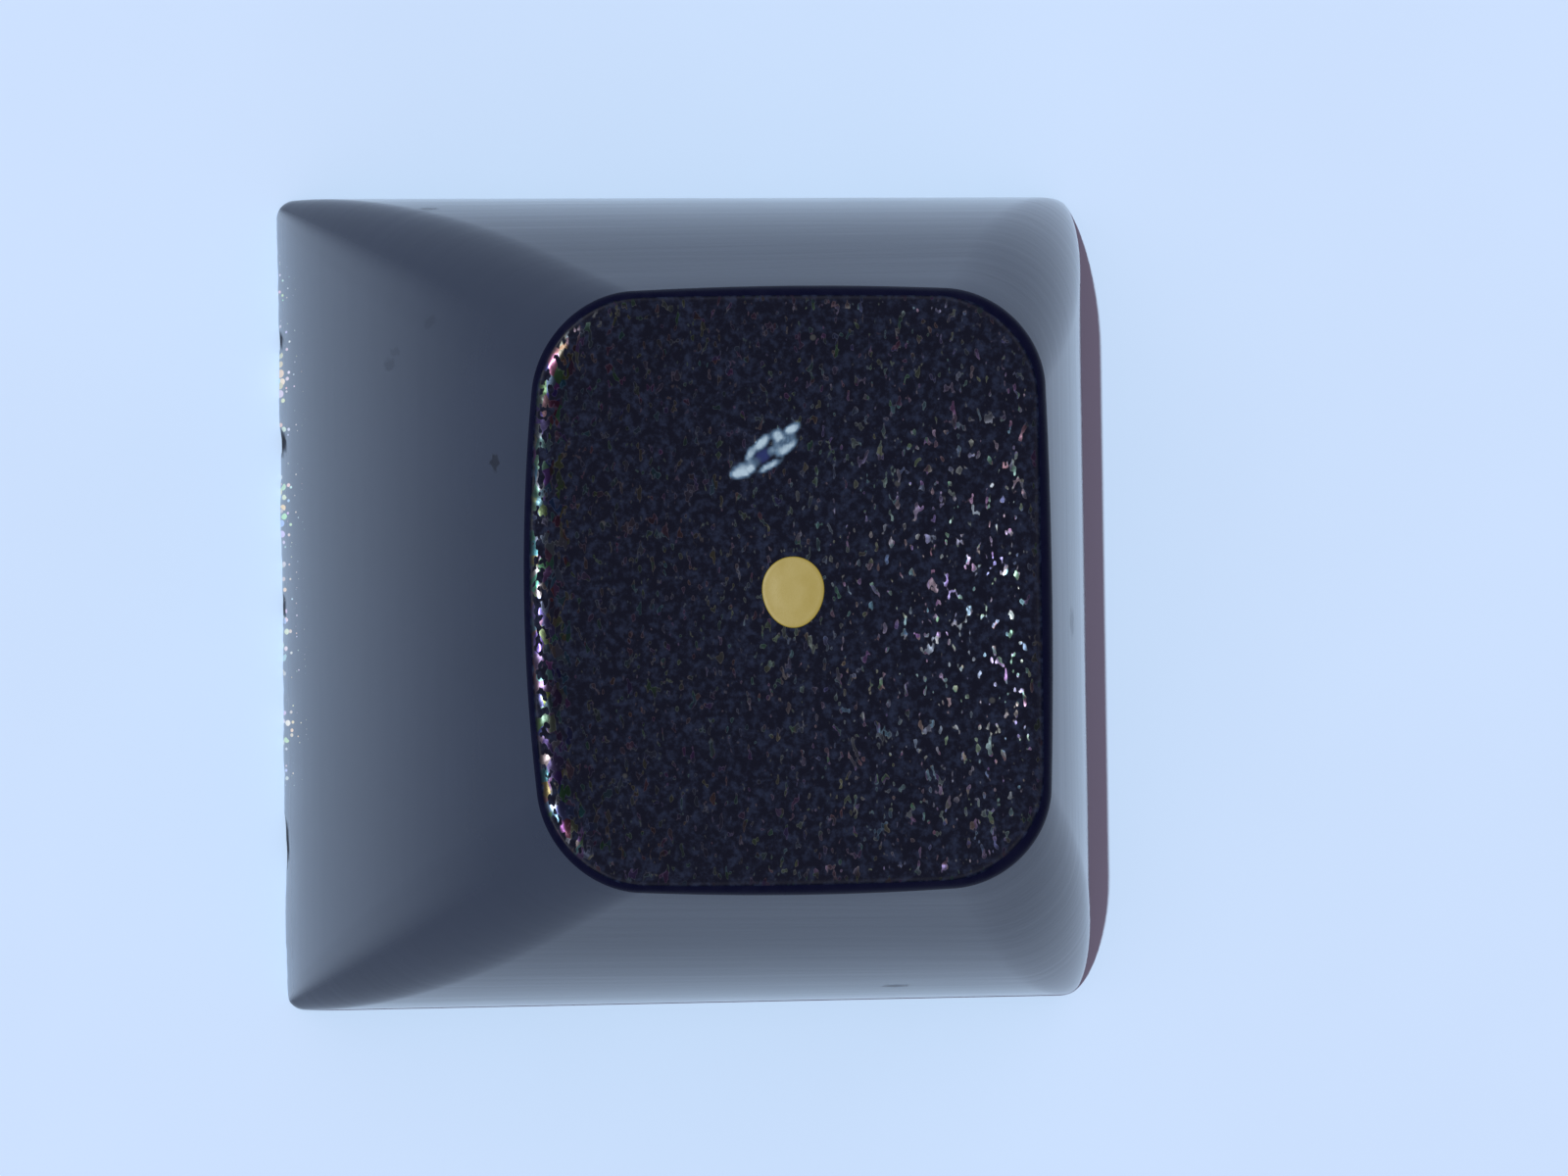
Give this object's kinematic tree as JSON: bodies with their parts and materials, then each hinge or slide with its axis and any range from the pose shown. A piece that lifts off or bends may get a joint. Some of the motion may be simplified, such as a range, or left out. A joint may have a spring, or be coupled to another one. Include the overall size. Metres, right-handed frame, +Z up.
{
  "type": "keycap",
  "caption": "Square one-unit keyboard cap with tapering walls, a dished grained top with a flush oval dot, and a round stem underneath with a cross-shaped socket.",
  "frame": {"origin": "middle of the skirt's rim, in the plane that the cap rests on", "axes": "+X to the typist's right, +Y to the back of the keyboard, +Z up through the dished top"},
  "size_m": [0.0182, 0.0182, 0.0103],
  "materials": {
    "cap_plastic": "black moulded plastic, smooth and half-glossy on the walls and finely grained on the top",
    "dot_plastic": "plain ochre yellow, smooth"
  },
  "bodies": {
    "root": {"keycap": "cap_plastic", "dot_inlay": "dot_plastic"}
  },
  "joints": []
}
